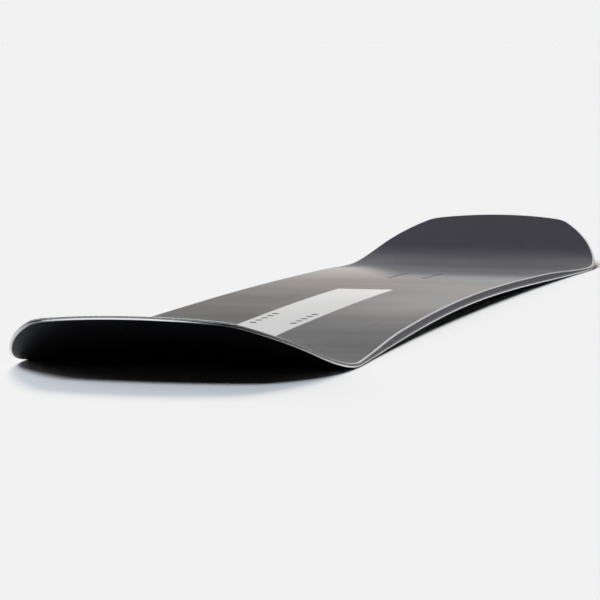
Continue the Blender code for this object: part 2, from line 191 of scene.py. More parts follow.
# Camera
CAMERA_PLACE = (-3.15972, -0.79919, 0.28027)
CAMERA_YAW = 0.26557
CAMERA_PITCH = -0.08336
CAMERA_ROLL = -0.00285
CAMERA_LENS = 185.333
CAMERA_SENSOR = 36.0
CAMERA_CLIP = 2000.0

# Lengths from the middle of the board
HALF_CONTACT = CONTACT_LENGTH / 2
HALF_LENGTH = HALF_CONTACT + TIP_LENGTH
CORE_END = HALF_CONTACT + CORE_PAST_CONTACT

# Heights above the underside of the base
TANG_FLOOR = BASE_THICKNESS + GLUE_LINE
RAIL_TOP = TANG_FLOOR + TANG_THICKNESS
FOIL_FLOOR = RAIL_TOP + GLUE_LINE
FOIL_TOP = FOIL_FLOOR + FOIL_THICKNESS
LAMINATE_RISE = FOIL_TOP + GLUE_LINE - TANG_FLOOR
CORE_FLOOR = TANG_FLOOR + LAMINATE_THICKNESS + GLUE_LINE
RIM_FLOOR = CORE_FLOOR + LAMINATE_RISE
CORE_TOP = CORE_FLOOR + CORE_THICKNESS
UPPER_LAMINATE_FLOOR = CORE_TOP + GLUE_LINE
UPPER_LAMINATE_TOP = UPPER_LAMINATE_FLOOR + LAMINATE_THICKNESS
TOPSHEET_FLOOR = UPPER_LAMINATE_TOP + GLUE_LINE
TOPSHEET_TOP = TOPSHEET_FLOOR + TOPSHEET_THICKNESS

# Distances in from the steel rim
ROOT_REACH = EDGE_WIDTH + TOOTH_ROOT
TANG_REACH = EDGE_WIDTH + TANG_WIDTH
FOIL_REACH = TANG_REACH + FOIL_MARGIN
RAMP_REACH = FOIL_REACH + LAMINATE_RAMP
SIDEWALL_REACH = RAMP_REACH + SIDEWALL_MARGIN


def outward(turn):
    """Outward normal of the rim where it has turned by this angle towards the tip."""
    return Vector((math.sin(turn), math.cos(turn)))


def rim_arcs():
    """Sidecut, shoulder, corner and end of one quarter of the rim, each tangent to the next.

    An arc is its centre, its radius (negative where the rim is hollow) and its last turn.
    """
    half_tip = TIP_WIDTH / 2
    shoulder_drop = SHOULDER_RADIUS * (1 - math.cos(SHOULDER_TURN))
    corner_rise = CORNER_RADIUS * math.cos(SHOULDER_TURN)
    corner_turn = math.acos((half_tip - shoulder_drop - corner_rise) / (END_RADIUS - CORNER_RADIUS))
    end_centre = Vector((HALF_LENGTH - END_RADIUS, 0.0))
    corner_centre = end_centre + (END_RADIUS - CORNER_RADIUS) * outward(corner_turn)
    shoulder_centre = corner_centre - (SHOULDER_RADIUS - CORNER_RADIUS) * outward(SHOULDER_TURN)
    widest = shoulder_centre.x
    sidecut_turn = 2 * math.atan((half_tip - WAIST_WIDTH / 2) / widest)
    sidecut_radius = widest / math.sin(sidecut_turn) - SHOULDER_RADIUS
    sidecut_centre = Vector((0.0, WAIST_WIDTH / 2 + sidecut_radius))
    return (
        (sidecut_centre, -sidecut_radius, -sidecut_turn),
        (shoulder_centre, SHOULDER_RADIUS, SHOULDER_TURN),
        (corner_centre, CORNER_RADIUS, corner_turn),
        (end_centre, END_RADIUS, math.pi / 2),
    )


ARCS = rim_arcs()


def rim_place(along, across):
    """Outward direction at a point near the rim, its distance in and its travel from the waist."""
    point = Vector((abs(along), abs(across)))
    travel = 0.0
    first_turn = 0.0
    for centre, radius, last_turn in ARCS:
        spoke = (point - centre) * math.copysign(1.0, radius)
        turn = math.atan2(spoke.x, spoke.y)
        sweep_size = abs(last_turn - first_turn)
        if abs(turn - first_turn) <= sweep_size or radius == END_RADIUS:
            break
        travel += abs(radius) * sweep_size
        first_turn = last_turn
    quadrant = Vector((math.copysign(1.0, along), math.copysign(1.0, across)))
    direction = (outward(turn) * quadrant).to_3d()
    inset = radius - math.copysign(spoke.length, radius)
    return direction, inset, travel + abs(radius) * abs(turn - first_turn)


def heading(along):
    """Slope angle of the base, at a distance from the middle."""
    share = min(along / HALF_CONTACT, 1.0)
    camber_slope = -4 * CAMBER_HEIGHT * share * (1 - share ** 2) / HALF_CONTACT
    kick_share = min(max((along - HALF_CONTACT) / KICK_BLEND, 0.0), 1.0)
    return math.atan(camber_slope) + KICK_ANGLE * kick_share


def mould():
    """Lines of the mould from nose to tail: distance along the base, x and z."""
    x = 0.0
    z = 0.0
    length = HALF_LENGTH / MOULD_STEPS
    lines = [(0.0, 0.0, 0.0)]
    for k in range(MOULD_STEPS):
        angle = heading((k + 0.5) * length)
        x += length * math.cos(angle)
        z += length * math.sin(angle)
        lines.append(((k + 1) * length, x, z))
    lowest = min(line[2] for line in lines)
    tail = [(s, x, z - lowest) for s, x, z in lines]
    nose = [(-s, -x, z) for s, x, z in reversed(tail[1:])]
    return nose + tail


MOULD = mould()
MOULD_LINES = [line[0] for line in MOULD]


def slope(along):
    """Slope angle of the board at a distance from the middle, falling on the nose's half."""
    return math.copysign(heading(abs(along)), along) if along else 0.0


def pressed(along, across, height):
    """Where a point of the flat lay-up ends up in the pressed board."""
    k = min(max(bisect_right(MOULD_LINES, along) - 1, 0), len(MOULD) - 2)
    share = (along - MOULD_LINES[k]) / (MOULD_LINES[k + 1] - MOULD_LINES[k])
    x, z = [a + (b - a) * share for a, b in zip(MOULD[k][1:], MOULD[k + 1][1:])]
    angle = slope(along)
    return Vector((x - height * math.sin(angle), across, z + height * math.cos(angle)))


def seat(along, across, height):
    """Place and tilt of a rigid piece that stands square on the pressed board."""
    tilt = Matrix.Rotation(-slope(along), 4, "Y")
    return Matrix.Translation(pressed(along, across, height)) @ tilt


def core_top(along):
    """Height of the core's upper face, which tapers from past the inserts to the tips."""
    left = (TAPER_END - abs(along)) / (TAPER_END - TAPER_START)
    taper = min(max(left, 0.0), 1.0)
    smooth = taper ** 2 * (3 - 2 * taper)
    tip_height = RIM_FLOOR + TIP_RIM_THICKNESS
    return tip_height + (CORE_TOP - tip_height) * smooth


def bevelled(lift):
    """Inset of the outer face over the full core, where sidewall and bevel lean in."""
    lean = (CORE_TOP - RIM_FLOOR) * math.tan(SIDEWALL_LEAN)
    return RIM_SETBACK + lean + lift * math.tan(TOP_BEVEL)


def half_tour():
    """Arcs from the edge's joint at the tail round to its joint at the nose.

    An arc is its centre, its radius and how far it turns, clockwise where negative.
    """
    sidecut, shoulder, corner, end = ARCS
    heel = Vector((1.0, -1.0))
    nose = Vector((-1.0, -1.0))
    hollow_turn = -sidecut[2]
    corner_turn = corner[2] - SHOULDER_TURN
    return (
        (shoulder[0], SHOULDER_RADIUS, EDGE_JOINT_TURN - SHOULDER_TURN),
        (corner[0], CORNER_RADIUS, -corner_turn),
        (end[0], END_RADIUS, 2 * corner[2] - math.pi),
        (corner[0] * heel, CORNER_RADIUS, -corner_turn),
        (shoulder[0] * heel, SHOULDER_RADIUS, -SHOULDER_TURN - hollow_turn),
        (sidecut[0] * heel, -sidecut[1], 2 * hollow_turn),
        (shoulder[0] * nose, SHOULDER_RADIUS, -hollow_turn - EDGE_JOINT_TURN),
    )


def steps_for(radius, angle):
    """Steps that keep an arc's facets within the sagitta and the longest step."""
    finest = 2 * math.acos(1 - SAGITTA / radius)
    return max(math.ceil(abs(angle) / min(finest, LONGEST_STEP / radius)), 1)


def only(items, kind):
    """The vertices, edges or faces among mixed geometry."""
    return [item for item in items if isinstance(item, kind)]


def draw_section(bm, section, closed, rounded, joint_gap=0.0):
    """Section of a strip, standing across the rim at the edge's joint on the tail's toe side.

    Its points are distances in from the rim and heights. The rounded ones, by their numbers,
    get their own softening.
    """
    centre = ARCS[1][0]
    turn = EDGE_JOINT_TURN + joint_gap / 2 / SHOULDER_RADIUS
    verts = []
    for inset, height in section:
        place = centre + (SHOULDER_RADIUS - inset) * outward(turn)
        verts.append(bm.verts.new((*place, height)))
    for k in range(1, len(verts)):
        bm.edges.new((verts[k - 1], verts[k]))
    if closed:
        bm.edges.new((verts[-1], verts[0]))
    for k, softening in rounded.items():
        bmesh.ops.bevel(
            bm, geom=[verts[k]], offset=softening, offset_type="OFFSET",
            segments=ROUNDING_SEGMENTS, profile=0.5, affect="VERTICES", material=-1)
    return bm.verts[:] + bm.edges[:]


def spin_round(bm, front, tour):
    """Sweeps a section round the arcs of a tour, and returns the section at its end."""
    for centre, radius, angle in tour:
        made = bmesh.ops.spin(
            bm, geom=front, cent=(*centre, 0.0), axis=(0, 0, 1), angle=angle,
            steps=steps_for(radius, angle), use_merge=False)
        front = made["geom_last"]
    return front


def rim_ring(section, closed, rounded):
    """Strip round the whole rim, merged where it comes back to its start."""
    bm = bmesh.new()
    first = draw_section(bm, section, closed, rounded)
    tour = half_tour()
    last = spin_round(bm, first, tour)
    last = spin_round(bm, last, [(-centre, radius, angle) for centre, radius, angle in tour])
    bmesh.ops.remove_doubles(bm, verts=only(first + last, BMVert), dist=SEAM_MERGE)
    return bm


def rim_length(section, rounded, joint_gap):
    """Strip along half of the rim, from joint to joint, with its ends closed."""
    bm = bmesh.new()
    front = draw_section(bm, section, True, rounded, joint_gap)
    first = only(front, BMEdge)
    tour = list(half_tour())
    gap_turn = joint_gap / 2 / SHOULDER_RADIUS
    for k in (0, -1):
        centre, radius, angle = tour[k]
        tour[k] = (centre, radius, angle + gap_turn)
    last = only(spin_round(bm, front, tour), BMEdge)
    for loop in (first, last):
        bmesh.ops.edgeloop_fill(bm, edges=loop)
    return bm


def both_lengths(heel):
    """The heel length of a strip with its name, and the toe length, which is half a turn round."""
    toe = heel.copy()
    bmesh.ops.rotate(toe, cent=(0, 0, 0), matrix=Matrix.Rotation(math.pi, 3, "Z"), verts=toe.verts)
    return ("heel", heel), ("toe", toe)


def boundary_at(bm, height):
    """Open edges that lie at this height."""
    return [
        edge for edge in bm.edges
        if edge.is_boundary and all(abs(vert.co.z - height) < SNAP for vert in edge.verts)]


def all_geometry(bm):
    return bm.verts[:] + bm.edges[:] + bm.faces[:]


def score(bm, point, normal):
    """Splits the faces along a plane."""
    bmesh.ops.bisect_plane(bm, geom=all_geometry(bm), dist=SNAP, plane_co=point, plane_no=normal)


def score_across(bm):
    """Splits a flat plate at lines across the board, closest in the kicks."""
    lines = [HALF_CONTACT * (2 * k + 1) / (2 * CAMBER_LINES + 1) for k in range(CAMBER_LINES + 1)]
    lines += [HALF_CONTACT + KICK_BLEND * (k + 1) / KICK_LINES for k in range(KICK_LINES)]
    for along in lines:
        score(bm, (along, 0, 0), (1, 0, 0))
        score(bm, (-along, 0, 0), (1, 0, 0))


def saw(bm, point, normal):
    """Cuts off what lies on the normal's side of a plane, and closes the cut."""
    cut = bmesh.ops.bisect_plane(
        bm, geom=all_geometry(bm), dist=SNAP, plane_co=point, plane_no=normal, clear_outer=True)
    bmesh.ops.edgeloop_fill(bm, edges=only(cut["geom_cut"], BMEdge))


def settle(bm):
    """Thins the lay-up towards the tips, with the outer walls kept at their lean."""
    for vert in bm.verts:
        along, across, height = vert.co
        if height <= RIM_FLOOR:
            continue
        share = min((height - RIM_FLOOR) / (CORE_TOP - RIM_FLOOR), 1.0)
        drop = (CORE_TOP - core_top(along)) * share
        direction, inset, _ = rim_place(along, across)
        if inset < RAMP_REACH:
            vert.co += direction * drop * math.tan(SIDEWALL_LEAN)
        vert.co.z -= drop


def note_rim(bm):
    """Keeps each point's travel round the rim, inset and height for the materials."""
    layer = bm.verts.layers.float_vector.new("rim")
    for vert in bm.verts:
        _, inset, travel = rim_place(vert.co.x, vert.co.y)
        vert[layer] = (travel, inset, vert.co.z)


def new_piece(name, bm, materials):
    """Makes the mesh a piece of the board, rounded where its faces nearly line up."""
    bmesh.ops.recalc_face_normals(bm, faces=bm.faces)
    mesh = bpy.data.meshes.new(name)
    bm.to_mesh(mesh)
    bm.free()
    mesh.shade_smooth()
    mesh.set_sharp_from_angle(angle=SMOOTH_ANGLE)
    for mat in materials:
        mesh.materials.append(mat)
    piece = bpy.data.objects.new(name, mesh)
    bpy.context.scene.collection.objects.link(piece)
    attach(piece, "root")
    return piece


def press(name, bm, materials):
    """Settles, presses and names one layer."""
    note_rim(bm)
    settle(bm)
    for vert in bm.verts:
        vert.co = pressed(*vert.co)
    return new_piece(name, bm, materials)


def insert_places():
    """Name, distance along the base and distance from the centreline of each insert."""
    places = []
    for foot, foot_side in (("front", -1), ("rear", 1)):
        for row, row_side in (("heel", -1), ("toe", 1)):
            for k in range(HOLES_PER_ROW):
                along = foot_side * STANCE / 2 + (k - (HOLES_PER_ROW - 1) / 2) * HOLE_PITCH
                places.append((f"{foot}_{row}_{k + 1}", along, row_side * ROW_SPACING / 2))
    return places


def turn_profile(bm, profile, middle, segments):
    """Spins a profile of radii and heights round an upright axis."""
    verts = [bm.verts.new((middle[0] + radius, middle[1], height)) for radius, height in profile]
    edges = [bm.edges.new(pair) for pair in zip(verts, verts[1:])]
    bmesh.ops.spin(
        bm, geom=verts + edges, cent=(*middle, 0.0), axis=(0, 0, 1), angle=2 * math.pi,
        steps=segments, use_merge=True)


def plate(section, rounded, low, high, hole_profile=None):
    """Plate between two heights inside a swept rim, with turned holes where the inserts stand."""
    bm = rim_ring(section, False, rounded)
    if hole_profile:
        for _, along, across in insert_places():
            turn_profile(bm, hole_profile, (along, across), HOLE_SEGMENTS)
    for height in (low, high):
        edges = boundary_at(bm, height)
        if hole_profile:
            bmesh.ops.triangle_fill(bm, use_beauty=True, edges=edges, normal=(0, 0, 1))
        else:
            bmesh.ops.edgeloop_fill(bm, edges=edges)
    return bm


def make_base(mats):
    """Sintered base inside the steel edge, with its lower rim eased by the grinding belt."""
    inset = EDGE_WIDTH + GLUE_LINE
    section = [(inset + FLAT_BORDER, 0.0), (inset, 0.0), (inset, BASE_THICKNESS)]
    bm = plate(section, {1: EDGE_SOFTENING}, 0.0, BASE_THICKNESS)
    score_across(bm)
    piece = press("running_base", bm, [mats["base"]])
    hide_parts("base_sheet")


def cut_teeth(bm):
    """Draws the teeth of the tang out of the rail's root, evenly round the rim."""
    teeth = []
    for face in bm.faces:
        middle = face.calc_center_median()
        _, inset, travel = rim_place(middle.x, middle.y)
        at_root = abs(inset - ROOT_REACH) < SEAM_MERGE and middle.z > TANG_FLOOR
        if at_root and travel % TOOTH_PITCH > SLOT_LENGTH:
            teeth.append(face)
    made = bmesh.ops.extrude_face_region(bm, geom=teeth)
    bmesh.ops.delete(bm, geom=teeth, context="FACES")
    for vert in only(made["geom"], BMVert):
        direction = rim_place(vert.co.x, vert.co.y)[0]
        vert.co -= direction * (TANG_WIDTH - TOOTH_ROOT)


def make_edges(mats):
    """Steel rails with a toothed tang, in two lengths round the rim."""
    section = [
        (RIM_GRIND, 0.0),
        (RIM_GRIND, RAIL_TOP),
        (ROOT_REACH, RAIL_TOP),
        (ROOT_REACH, TANG_FLOOR),
        (EDGE_WIDTH, TANG_FLOOR),
        (EDGE_WIDTH, 0.0),
    ]
    heel = rim_length(section, {0: EDGE_SOFTENING, 1: EDGE_SOFTENING}, EDGE_JOINT_GAP)
    cut_teeth(heel)
    for side, bm in both_lengths(heel):
        piece = press(f"edge_rail_{side}", bm, [mats["steel"]])
        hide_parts(f"steel_edge_{side}")


def make_foils(mats):
    """Rubber foil that damps each steel edge under the laminate."""
    section = [
        (RIM_SETBACK, FOIL_FLOOR),
        (RIM_SETBACK, FOIL_TOP),
        (FOIL_REACH, FOIL_TOP),
        (FOIL_REACH, FOIL_FLOOR),
    ]
    for side, bm in both_lengths(rim_length(section, {}, EDGE_JOINT_GAP)):
        piece = press(f"damping_foil_{side}", bm, [mats["rubber"]])
        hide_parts(f"rubber_foil_{side}")


def make_lower_laminate(mats):
    """Glass laminate that lies on the base and ramps up over the foil at the rim."""
    top = TANG_FLOOR + LAMINATE_THICKNESS
    section = [
        (RAMP_REACH, TANG_FLOOR),
        (FOIL_REACH, TANG_FLOOR + LAMINATE_RISE),
        (RIM_SETBACK, TANG_FLOOR + LAMINATE_RISE),
        (RIM_SETBACK, top + LAMINATE_RISE),
        (FOIL_REACH, top + LAMINATE_RISE),
        (RAMP_REACH, top),
    ]
    bm = plate(section, {}, TANG_FLOOR, top)
    score_across(bm)
    piece = press("glass_under_core", bm, [mats["glass"]])
    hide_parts("lower_laminate")


def make_sidewalls(mats):
    """Sidewall strips between the tip spacers, leaning in and stepped over the laminate."""
    section = [
        (RIM_SETBACK, RIM_FLOOR),
        (FOIL_REACH, RIM_FLOOR),
        (RAMP_REACH, CORE_FLOOR),
        (SIDEWALL_REACH, CORE_FLOOR),
        (SIDEWALL_REACH, CORE_TOP),
        (bevelled(0.0), CORE_TOP),
    ]
    strips = rim_ring(section, True, {0: WALL_SOFTENING, 5: WALL_SOFTENING})
    end = CORE_END - GLUE_LINE / 2
    saw(strips, (end, 0, 0), (1, 0, 0))
    saw(strips, (-end, 0, 0), (-1, 0, 0))
    for side, normal in (("heel", (0, 1, 0)), ("toe", (0, -1, 0))):
        strip = strips.copy()
        saw(strip, (0, 0, 0), normal)
        piece = press(f"side_strip_{side}", strip, [mats["sidewall"]])
        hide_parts(f"sidewall_{side}")
    strips.free()


def make_spacers(mats):
    """Moulded tip spacers that carry on the core and the sidewalls to the rim."""
    section = [
        (RAMP_REACH, CORE_FLOOR),
        (FOIL_REACH, RIM_FLOOR),
        (RIM_SETBACK, RIM_FLOOR),
        (bevelled(0.0), CORE_TOP),
        (bevelled(0.0) + FLAT_BORDER, CORE_TOP),
    ]
    whole = plate(section, {2: WALL_SOFTENING, 3: WALL_SOFTENING}, CORE_FLOOR, CORE_TOP)
    score_across(whole)
    for tip, side in (("nose", -1), ("tail", 1)):
        bm = whole.copy()
        saw(bm, (side * (CORE_END + GLUE_LINE / 2), 0, 0), (-side, 0, 0))
        piece = press(f"{tip}_filler", bm, [mats["spacer"]])
        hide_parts(f"{tip}_spacer")
    whole.free()


def make_upper_laminate(mats):
    """Glass laminate over the core, cut out round the barrels of the inserts."""
    section = [
        (bevelled(GLUE_LINE), UPPER_LAMINATE_FLOOR),
        (bevelled(GLUE_LINE + LAMINATE_THICKNESS), UPPER_LAMINATE_TOP),
    ]
    radius = BARREL_DIAMETER / 2 + BARREL_CLEARANCE
    hole = [(radius, UPPER_LAMINATE_FLOOR), (radius, UPPER_LAMINATE_TOP)]
    bm = plate(section, {}, UPPER_LAMINATE_FLOOR, UPPER_LAMINATE_TOP, hole)
    score_across(bm)
    piece = press("glass_over_core", bm, [mats["glass"]])
    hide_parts("upper_laminate")


TOPSHEET_LOOKS = ("satin_with_painted_sheen", "stripe", "cut_edge_and_painted_highlight", "hole_wall_painted_shade")


def in_stripe(place):
    return STRIPE_HEEL < place.y < STRIPE_TOE and STRIPE_NOSE_END < place.x < STRIPE_TAIL_END


def paint_topsheet(bm):
    """Sets each face to the satin print with its painted sheen, the light stripe, the polished rim with
    its ring of painted highlight, or a hole's wall painted as shade.
    """
    print_starts = bevelled(TOPSHEET_TOP - CORE_TOP) + PAINTED_HIGHLIGHT_RING
    for face in bm.faces:
        middle = face.calc_center_median()
        flat_top = face.normal.z > LEVEL_NORMAL and middle.z > TOPSHEET_FLOOR + SNAP
        inset = rim_place(middle.x, middle.y)[1]
        if flat_top and inset > print_starts:
            look = "stripe" if in_stripe(middle) else "satin_with_painted_sheen"
        # The flat ring just inside the bevel takes the pale cut-edge tone as a painted highlight.
        elif inset < RAMP_REACH:
            look = "cut_edge_and_painted_highlight"
        else:
            look = "hole_wall_painted_shade"
        face.material_index = TOPSHEET_LOOKS.index(look)


def make_topsheet(mats):
    """Topsheet with a polished bevel round its rim, a pale ring of painted highlight beside it, and
    eased holes over the inserts.
    """
    lift = TOPSHEET_FLOOR - CORE_TOP
    rim_in = bevelled(lift + TOPSHEET_THICKNESS)
    section = [
        (bevelled(lift), TOPSHEET_FLOOR),
        (rim_in, TOPSHEET_TOP),
        (rim_in + PAINTED_HIGHLIGHT_RING, TOPSHEET_TOP),
    ]
    radius = TOPSHEET_HOLE / 2
    hole = [
        (radius, TOPSHEET_FLOOR),
        (radius, TOPSHEET_TOP - TOP_SOFTENING),
        (radius + TOP_SOFTENING, TOPSHEET_TOP),
    ]
    bm = plate(section, {1: TOP_SOFTENING}, TOPSHEET_FLOOR, TOPSHEET_TOP, hole)
    for across in (STRIPE_HEEL, STRIPE_TOE):
        score(bm, (0, across, 0), (0, 1, 0))
    for along in (STRIPE_NOSE_END, STRIPE_TAIL_END):
        score(bm, (along, 0, 0), (1, 0, 0))
    score_across(bm)
    bmesh.ops.recalc_face_normals(bm, faces=bm.faces)
    paint_topsheet(bm)
    piece = press("top_sheet", bm, [mats[look] for look in TOPSHEET_LOOKS])
    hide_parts("topsheet")


def draw_thread(bm, top):
    """Thread that climbs the bore as one ridge, drawn out of a small section."""
    wall = THREAD_DIAMETER / 2 + THREAD_BITE
    crest = THREAD_CORE / 2
    turns = int((THREAD_DEPTH - COUNTERSINK) / THREAD_PITCH) - 1
    start = top - THREAD_DEPTH + THREAD_PITCH / 2
    profile = [
        (wall, start - THREAD_PITCH * RIDGE_ROOT),
        (crest, start - THREAD_PITCH * RIDGE_CREST),
        (crest, start + THREAD_PITCH * RIDGE_CREST),
        (wall, start + THREAD_PITCH * RIDGE_ROOT),
    ]
    verts = [bm.verts.new((radius, 0.0, height)) for radius, height in profile]
    front = verts + [bm.edges.new((verts[k - 1], verts[k])) for k in range(len(verts))]
    first = only(front, BMEdge)
    made = bmesh.ops.spin(
        bm, geom=front, cent=(0, 0, 0), axis=(0, 0, 1), angle=2 * math.pi * turns,
        steps=turns * THREAD_SEGMENTS, dvec=(0, 0, THREAD_PITCH / THREAD_SEGMENTS), use_merge=False)
    last = only(made["geom_last"], BMEdge)
    for loop in (first, last):
        bmesh.ops.edgeloop_fill(bm, edges=loop)


def make_inserts(mats):
    """Blind threaded inserts: a flange under the core and a barrel up to the topsheet."""
    top = UPPER_LAMINATE_TOP - CORE_FLOOR
    bore = THREAD_DIAMETER / 2
    barrel = BARREL_DIAMETER / 2
    flange = FLANGE_DIAMETER / 2
    profile = [
        (0.0, top - THREAD_DEPTH),
        (bore, top - THREAD_DEPTH),
        (bore, top - COUNTERSINK),
        (bore + COUNTERSINK, top),
        (barrel - CHAMFER, top),
        (barrel, top - CHAMFER),
        (barrel, FLANGE_THICKNESS),
        (flange - CHAMFER, FLANGE_THICKNESS),
        (flange, FLANGE_THICKNESS - CHAMFER),
        (flange, 0.0),
        (0.0, 0.0),
    ]
    model = bmesh.new()
    turn_profile(model, profile, (0.0, 0.0), THREAD_SEGMENTS)
    bmesh.ops.remove_doubles(model, verts=model.verts, dist=SNAP)
    draw_thread(model, top)
    for place, along, across in insert_places():
        bm = model.copy()
        bm.transform(seat(along, across, CORE_FLOOR))
        piece = new_piece(f"threaded_insert_{place}", bm, [mats["stainless"]])
        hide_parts(f"insert_{place}")
    model.free()


def add_node(tree, kind, inputs=None, **settings):
    """Adds a shader node, and fills its inputs with values or with other nodes' outputs."""
    node = tree.nodes.new(kind)
    for key, value in settings.items():
        setattr(node, key, value)
    for key, value in (inputs or {}).items():
        if isinstance(value, bpy.types.NodeSocket):
            tree.links.new(value, node.inputs[key])
        else:
            node.inputs[key].default_value = value
    return node


def new_material(name, metallic=0.0, specular=0.5):
    """A new material with its shader nodes, ready to be wired."""
    mat = bpy.data.materials.new(name)
    mat.use_nodes = True
    shader = mat.node_tree.nodes["Principled BSDF"]
    shader.inputs["Metallic"].default_value = metallic
    shader.inputs["Specular IOR Level"].default_value = specular
    return mat, mat.node_tree, shader


def object_place(tree):
    return add_node(tree, "ShaderNodeTexCoord").outputs["Object"]


def rim_travel(tree):
    """Travel round the rim, inset and height, as the piece's own attribute keeps them."""
    return add_node(tree, "ShaderNodeAttribute", attribute_name="rim").outputs["Vector"]


def axis(tree, vector, name):
    return add_node(tree, "ShaderNodeSeparateXYZ", {"Vector": vector}).outputs[name]


def noise(tree, place, scale, detail=3.0, roughness=0.5, turn=0.0):
    """Noise with its own scale along each axis, in repeats a metre, turned about the upright."""
    inputs = {"Vector": place, "Scale": scale, "Rotation": (0, 0, turn)}
    scaled = add_node(tree, "ShaderNodeMapping", inputs).outputs["Vector"]
    inputs = {"Vector": scaled, "Scale": 1.0, "Detail": detail, "Roughness": roughness}
    return add_node(tree, "ShaderNodeTexNoise", inputs).outputs["Fac"]


def compute(tree, operation, first, second):
    return add_node(tree, "ShaderNodeMath", {0: first, 1: second}, operation=operation).outputs["Value"]


def spread(tree, fac, low, high, from_low=0.3, from_high=0.7):
    """Spreads a noise's middle range over the values from low to high."""
    inputs = {"Value": fac, "From Min": from_low, "From Max": from_high, "To Min": low, "To Max": high}
    return add_node(tree, "ShaderNodeMapRange", inputs).outputs["Result"]


def share_between(tree, value, start, end):
    """How far a value has come from start to end, from 0 to 1."""
    return spread(tree, value, 0.0, 1.0, start, end)


def colours(tree, fac, stops, interpolation="LINEAR"):
    """Colour ramp over stops of a position and a colour."""
    ramp = add_node(tree, "ShaderNodeValToRGB", {"Fac": fac})
    ramp.color_ramp.interpolation = interpolation
    elements = ramp.color_ramp.elements
    while len(elements) < len(stops):
        elements.new(1.0)
    for element, (position, colour) in zip(elements, stops):
        element.position = position
        element.color = (*colour, 1.0)
    return ramp.outputs["Color"]


def two_tones(tree, fac, first, last):
    """Colour between two tones by a noise's middle range."""
    return colours(tree, spread(tree, fac, 0.0, 1.0), ((0.0, first), (1.0, last)))


def mix(tree, fac, first, second, blend_type="MIX"):
    """Mixes two colours, which the node takes at its seventh and eighth input."""
    inputs = {0: fac, 6: first, 7: second}
    node = add_node(tree, "ShaderNodeMix", inputs, data_type="RGBA", blend_type=blend_type)
    return node.outputs[2]


def wire(tree, shader, colour, roughness, relief, depth, strength):
    """Gives the shader its colour, its roughness and a fine relief, whose depth is in metres."""
    tree.links.new(colour, shader.inputs["Base Color"])
    tree.links.new(roughness, shader.inputs["Roughness"])
    inputs = {"Height": relief, "Distance": depth, "Strength": strength}
    bump = add_node(tree, "ShaderNodeBump", inputs)
    tree.links.new(bump.outputs["Normal"], shader.inputs["Normal"])


def with_scuffs(tree, place, gloss):
    """Roughness with sparse hairline scuffs on it, left aslant by gloves and racks."""
    scuffs = noise(tree, place, SCUFFS, detail=2.0, turn=SCUFF_TURN)
    dulling = spread(tree, scuffs, 0.0, SCUFF_DULLING, from_low=0.64, from_high=0.74)
    return compute(tree, "ADD", gloss, dulling)


def print_and_painted_sheen_tone(tree, place):
    """Tone of the satin print with a painted sheen: paler to the middle on both sides as a painted
    reflection, and cut off aslant past it by painted shade, down to the print's own dark grey.
    """
    along = axis(tree, place, "X")
    across = axis(tree, place, "Y")
    share = share_between(tree, along, SHEEN_START, SHEEN_END)
    # Painted reflection: these paler tones stand in for the studio glow that the satin reflects.
    heel_painted_sheen = colours(tree, share, (
        (0.05, (0.012, 0.012, 0.011)),
        (0.16, (0.050, 0.045, 0.045)),
        (0.38, (0.250, 0.235, 0.225)),
        (0.60, (0.310, 0.285, 0.262)),
        (0.77, (0.265, 0.272, 0.290)),
    ))
    toe_painted_sheen = colours(tree, share, (
        (0.20, (0.030, 0.027, 0.025)),
        (0.50, (0.130, 0.105, 0.090)),
        (0.70, (0.290, 0.240, 0.220)),
        (0.90, (0.515, 0.475, 0.445)),
    ))
    toeward = share_between(tree, across, HEEL_SHEEN_END, TOE_SHEEN_START)
    pale = mix(tree, toeward, heel_painted_sheen, toe_painted_sheen)
    slant = spread(tree, across, 0.0, SLANT_LENGTH, SLANT_START, SLANT_END)
    past_cut = share_between(tree, compute(tree, "SUBTRACT", along, slant), SHEEN_FADE_START, SHEEN_FADE_END)
    # Painted shade: past the slanted cut the sheen fades to the print's own dark grey, where the tail's
    # reflection hides the glow.
    sheen_fade = colours(tree, past_cut, ((0.0, (0.0, 0.0, 0.0)), (1.0, (1.0, 1.0, 1.0))), "EASE")
    return mix(tree, sheen_fade, pale, (0.040, 0.038, 0.054, 1.0))


def satin_print_with_painted_sheen():
    """Dark satin print of the topsheet, brushed across the board, with a painted sheen and painted shade
    over it.
    """
    mat, tree, shader = new_material("satin_print_with_painted_sheen", metallic=0.25)
    place = object_place(tree)
    brushing = noise(tree, place, BRUSHING, detail=5.0, roughness=0.65)
    shade = spread(tree, brushing, low=0.80, high=1.20)
    shades = {"Red": shade, "Green": shade, "Blue": shade}
    shade_colour = add_node(tree, "ShaderNodeCombineColor", shades).outputs["Color"]
    # The tone carries the painted sheen and painted shade over the brushed print.
    tone = mix(tree, 1.0, print_and_painted_sheen_tone(tree, place), shade_colour, "MULTIPLY")
    clouds = noise(tree, place, SATIN_CLOUDS)
    gloss = compute(tree, "ADD", spread(tree, brushing, -0.04, 0.05), spread(tree, clouds, 0.30, 0.40))
    wire(
        tree, shader, tone, with_scuffs(tree, place, gloss),
        relief=brushing, depth=0.000004, strength=0.35)
    return mat


